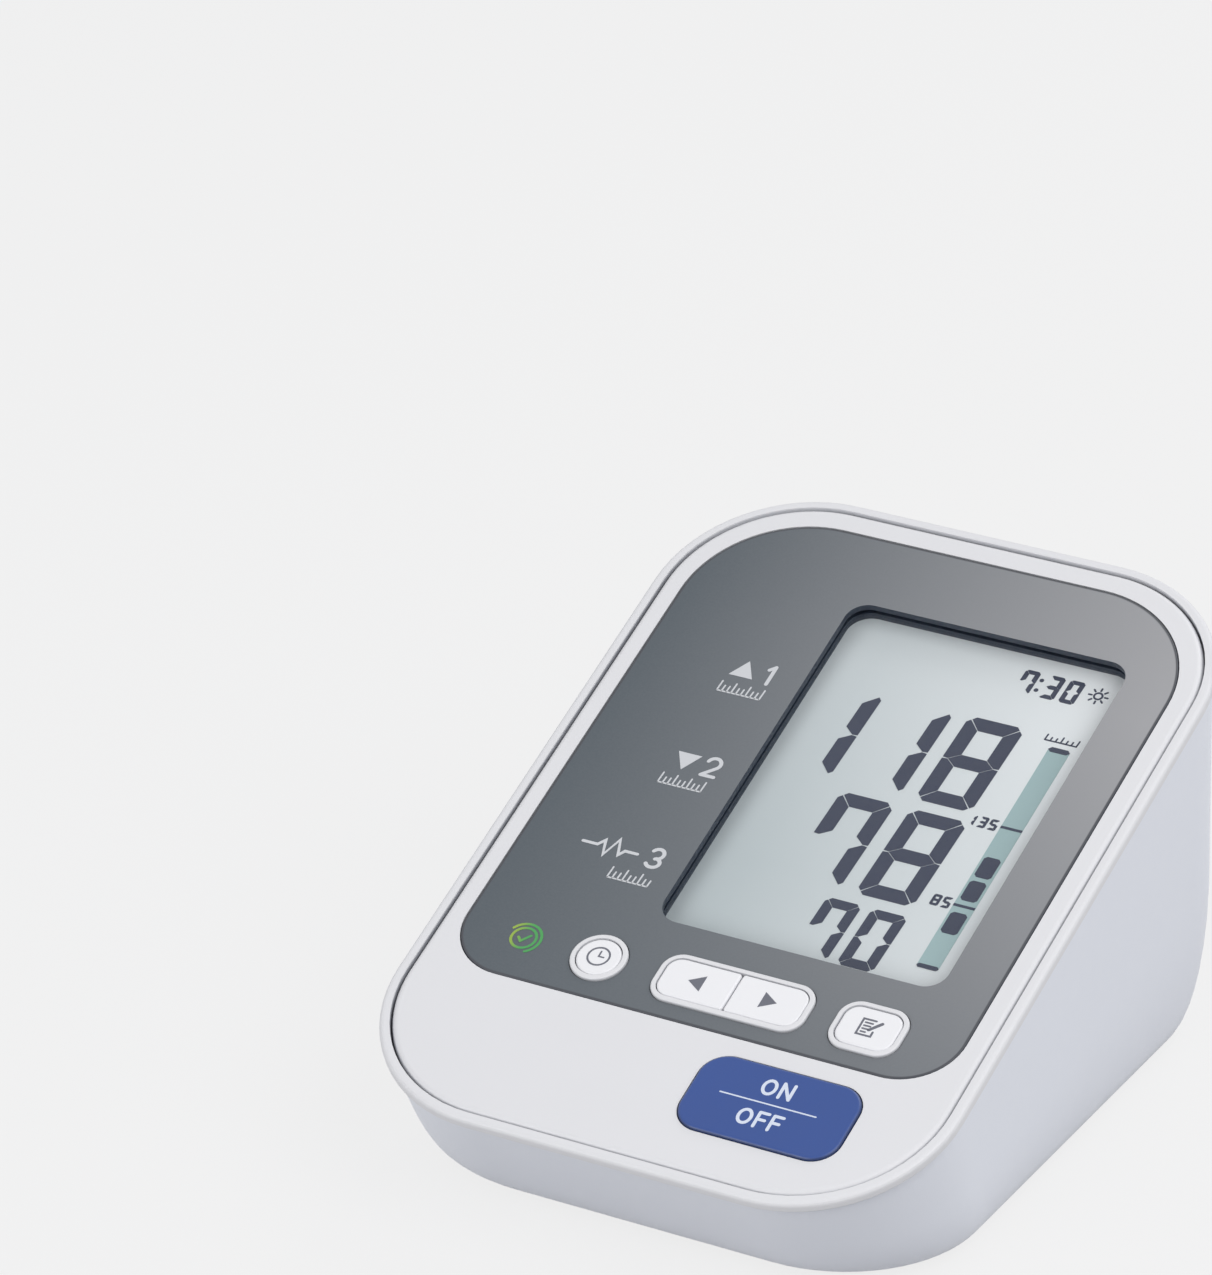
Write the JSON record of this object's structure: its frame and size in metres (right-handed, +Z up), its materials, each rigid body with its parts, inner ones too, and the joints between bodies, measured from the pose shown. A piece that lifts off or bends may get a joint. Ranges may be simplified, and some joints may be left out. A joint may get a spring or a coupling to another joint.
{
  "type": "blood pressure monitor",
  "caption": "Desktop blood pressure monitor: sloping face with display window and push buttons, battery door, air and power sockets, pump and valve inside.",
  "frame": {"origin": "on the table plane, under the centre of the bounding box", "axes": "+X to the user's right, +Y from the user's edge to the high back, +Z up; the face slopes at 22 degrees about X"},
  "size_m": [0.107, 0.1412, 0.0784],
  "materials": {
    "case_white": "fine matt moulded plastic",
    "cover_white": "satin moulded plastic",
    "panel_grey": "satin grey panel",
    "window_clear": "clear flat window",
    "frame_navy": "dark window walls",
    "display_glass": "pale reflective display",
    "rubber_pink": "soft connector strip",
    "button_blue": "satin blue button",
    "button_white": "satin white button",
    "plunger_black": "plain",
    "switch_steel": "stamped steel",
    "lamp_clear": "clear light guide",
    "led_green": "clear green",
    "board_green": "lacquered board",
    "chip_black": "plain",
    "screw_steel": "zinc plated",
    "sensor_plastic": "plain",
    "motor_can": "bright drawn can",
    "shaft_steel": "ground steel",
    "pump_plastic": "natural plastic",
    "rubber_dark": "matt rubber",
    "valve_plastic": "plain",
    "spring_steel": "bright spring wire",
    "hose_rubber": "silicone rubber",
    "jack_plastic": "moulded plastic",
    "socket_black": "moulded plastic",
    "cell_steel": "printed cell jacket",
    "contact_plate": "nickel plated",
    "foot_rubber": "matt rubber"
  },
  "bodies": {
    "case": {"base_case": "case_white", "top_cover": "cover_white", "display_panel": "panel_grey", "window_lens": "window_clear", "lcd_frame": "frame_navy", "lcd_glass": "display_glass", "lcd_strips": "rubber_pink", "key_switches": "switch_steel", "guide_lamp": "lamp_clear", "lamp_led": "led_green", "main_board": "board_green", "board_chips": "chip_black", "board_screws": "screw_steel", "pressure_sensor": "sensor_plastic", "buzzer": "chip_black", "pump_motor": "motor_can", "pump_head": "pump_plastic", "drive_plate": "pump_plastic", "pump_diaphragm": "rubber_dark", "pump_cap": "pump_plastic", "pump_sleeve": "rubber_dark", "valve_housing": "valve_plastic", "valve_spring": "spring_steel", "air_manifold": "pump_plastic", "air_hoses": "hose_rubber", "bleed_valve": "rubber_dark", "air_jack": "jack_plastic", "power_socket": "socket_black", "battery_1": "cell_steel", "battery_2": "cell_steel", "battery_3": "cell_steel", "battery_4": "cell_steel", "contact_springs": "spring_steel", "contact_plates": "contact_plate", "case_screws": "screw_steel", "rubber_feet": "foot_rubber"},
    "start": {"start_button": "button_blue", "start_plunger": "plunger_black"},
    "clock": {"clock_button": "button_white", "clock_plunger": "plunger_black"},
    "back": {"back_button": "button_white", "back_plunger": "plunger_black"},
    "forward": {"forward_button": "button_white", "forward_plunger": "plunger_black"},
    "memory": {"memory_button": "button_white", "memory_plunger": "plunger_black"},
    "door": {"battery_door": "case_white"},
    "shaft": {"motor_shaft": "shaft_steel"},
    "valve": {"valve_plunger": "shaft_steel"}
  },
  "joints": [
    {"name": "start_press", "type": "slide", "parent": "case", "child": "start", "axis": [0, 0.3746, -0.9272], "range_m": [0, 0.0005], "stiffness_N_per_m": 800, "springref_m": -0.0005},
    {"name": "clock_press", "type": "slide", "parent": "case", "child": "clock", "axis": [0, 0.3746, -0.9272], "range_m": [0, 0.0005], "stiffness_N_per_m": 800, "springref_m": -0.0005},
    {"name": "back_press", "type": "slide", "parent": "case", "child": "back", "axis": [0, 0.3746, -0.9272], "range_m": [0, 0.0005], "stiffness_N_per_m": 800, "springref_m": -0.0005},
    {"name": "forward_press", "type": "slide", "parent": "case", "child": "forward", "axis": [0, 0.3746, -0.9272], "range_m": [0, 0.0005], "stiffness_N_per_m": 800, "springref_m": -0.0005},
    {"name": "memory_press", "type": "slide", "parent": "case", "child": "memory", "axis": [0, 0.3746, -0.9272], "range_m": [0, 0.0005], "stiffness_N_per_m": 800, "springref_m": -0.0005},
    {"name": "door_hinge", "type": "hinge", "parent": "case", "child": "door", "pos_m": [0, -0.04041, 0.001], "axis": [-1, 0, 0], "range_deg": [0, 75]},
    {"name": "shaft_spin", "type": "hinge", "parent": "case", "child": "shaft", "pos_m": [0, 0.03849, 0.0165], "axis": [1, 0, 0], "continuous": true},
    {"name": "valve_lift", "type": "slide", "parent": "case", "child": "valve", "axis": [0, 0, 1], "range_m": [0, 0.0008], "stiffness_N_per_m": 150, "springref_m": -0.002, "deforming": ["valve_spring"]}
  ]
}
